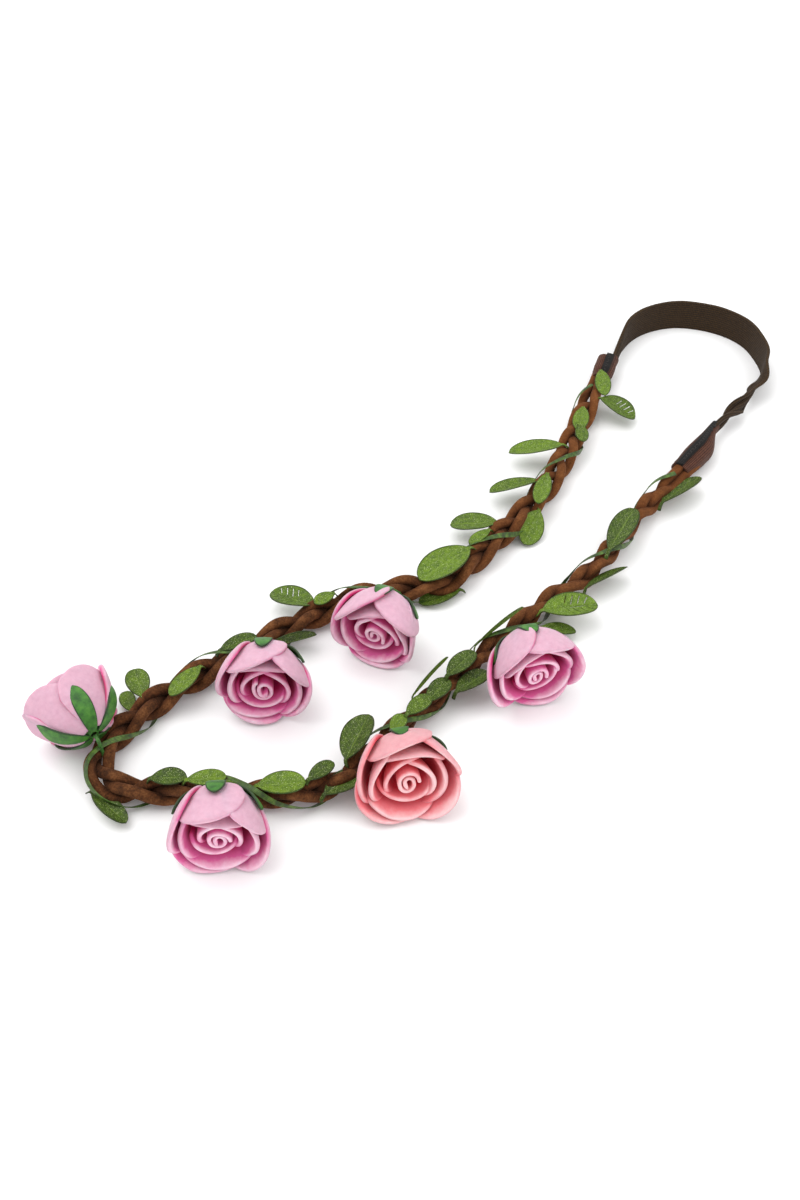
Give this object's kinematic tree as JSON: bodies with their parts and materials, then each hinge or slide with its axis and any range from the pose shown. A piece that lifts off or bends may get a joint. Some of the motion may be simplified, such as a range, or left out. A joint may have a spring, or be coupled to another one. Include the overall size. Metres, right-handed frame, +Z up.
{
  "type": "flower crown",
  "caption": "Head band of three plaited suede strands with an elastic back, wound with a leafy ribbon vine and set with foam roses on short wires that nod.",
  "frame": {"origin": "centre of the bottom of the whole crown's box, on the ground it lies on", "axes": "+Z up, +X along the flattened loop towards the elastic back, +Y towards the plait's far side"},
  "size_m": [0.2704, 0.0916, 0.0244],
  "materials": {
    "suede": "brushed faux suede",
    "vine_ribbon": "satin ribbon",
    "leaf_cloth": "coated satin cloth with pressed veins",
    "stem_wire": "green painted wire",
    "pink_foam": "matte closed-cell foam sheet",
    "peach_foam": "matte closed-cell foam sheet",
    "calyx_felt": "smooth coated cloth",
    "elastic": "woven elastic with fine ribs",
    "thread": "sewing thread"
  },
  "bodies": {
    "band": {"strand_1": "suede", "strand_2": "suede", "strand_3": "suede", "vine_stem": "vine_ribbon", "leaf_sprig_01": "leaf_cloth", "leaf_sprig_02": "leaf_cloth", "leaf_sprig_03": "leaf_cloth", "leaf_sprig_04": "leaf_cloth", "leaf_sprig_05": "leaf_cloth", "leaf_sprig_06": "leaf_cloth", "leaf_sprig_07": "leaf_cloth", "leaf_sprig_08": "leaf_cloth", "leaf_sprig_09": "leaf_cloth", "leaf_sprig_10": "leaf_cloth", "leaf_sprig_11": "leaf_cloth", "leaf_sprig_12": "leaf_cloth", "leaf_sprig_13": "leaf_cloth", "leaf_sprig_14": "leaf_cloth", "leaf_sprig_15": "leaf_cloth", "rose_a_stem": "stem_wire", "rose_b_stem": "stem_wire", "rose_c_stem": "stem_wire", "rose_d_stem": "stem_wire", "rose_e_stem": "stem_wire", "rose_f_stem": "stem_wire", "elastic_band": "elastic", "end_wrap_left": "elastic", "end_wrap_right": "elastic", "stitching_left": "thread", "stitching_right": "thread"},
    "rose_a": {"rose_a_bud": "pink_foam", "rose_a_inner_petals": "pink_foam", "rose_a_middle_petals": "pink_foam", "rose_a_outer_petals": "pink_foam", "rose_a_calyx": "calyx_felt"},
    "rose_b": {"rose_b_bud": "pink_foam", "rose_b_inner_petals": "pink_foam", "rose_b_middle_petals": "pink_foam", "rose_b_outer_petals": "pink_foam", "rose_b_calyx": "calyx_felt"},
    "rose_c": {"rose_c_bud": "pink_foam", "rose_c_inner_petals": "pink_foam", "rose_c_middle_petals": "pink_foam", "rose_c_outer_petals": "pink_foam", "rose_c_calyx": "calyx_felt"},
    "rose_d": {"rose_d_bud": "pink_foam", "rose_d_inner_petals": "pink_foam", "rose_d_middle_petals": "pink_foam", "rose_d_outer_petals": "pink_foam", "rose_d_calyx": "calyx_felt"},
    "rose_e": {"rose_e_bud": "peach_foam", "rose_e_inner_petals": "peach_foam", "rose_e_middle_petals": "peach_foam", "rose_e_outer_petals": "peach_foam", "rose_e_calyx": "calyx_felt"},
    "rose_f": {"rose_f_bud": "pink_foam", "rose_f_inner_petals": "pink_foam", "rose_f_middle_petals": "pink_foam", "rose_f_outer_petals": "pink_foam", "rose_f_calyx": "calyx_felt"}
  },
  "joints": [
    {"name": "rose_a_nod", "type": "hinge", "parent": "band", "child": "rose_a", "pos_m": [-0.12424, 0.0298, 0.01024], "axis": [0.9877, -0.1564, 0], "range_deg": [0, 20]},
    {"name": "rose_b_nod", "type": "hinge", "parent": "band", "child": "rose_b", "pos_m": [-0.07932, 0.01733, 0.01177], "axis": [-0.6691, 0.7431, 0], "range_deg": [0, 20]},
    {"name": "rose_c_nod", "type": "hinge", "parent": "band", "child": "rose_c", "pos_m": [-0.04591, 0.00595, 0.01317], "axis": [-0.4067, 0.9135, 0], "range_deg": [0, 20]},
    {"name": "rose_d_nod", "type": "hinge", "parent": "band", "child": "rose_d", "pos_m": [-0.11627, -0.00518, 0.01225], "axis": [-0.7071, 0.7071, 0], "range_deg": [0, 20]},
    {"name": "rose_e_nod", "type": "hinge", "parent": "band", "child": "rose_e", "pos_m": [-0.0785, -0.02559, 0.00916], "axis": [-0.788, 0.6157, 0], "range_deg": [0, 20]},
    {"name": "rose_f_nod", "type": "hinge", "parent": "band", "child": "rose_f", "pos_m": [-0.03463, -0.028, 0.01272], "axis": [-0.848, 0.5299, 0], "range_deg": [0, 20]}
  ]
}
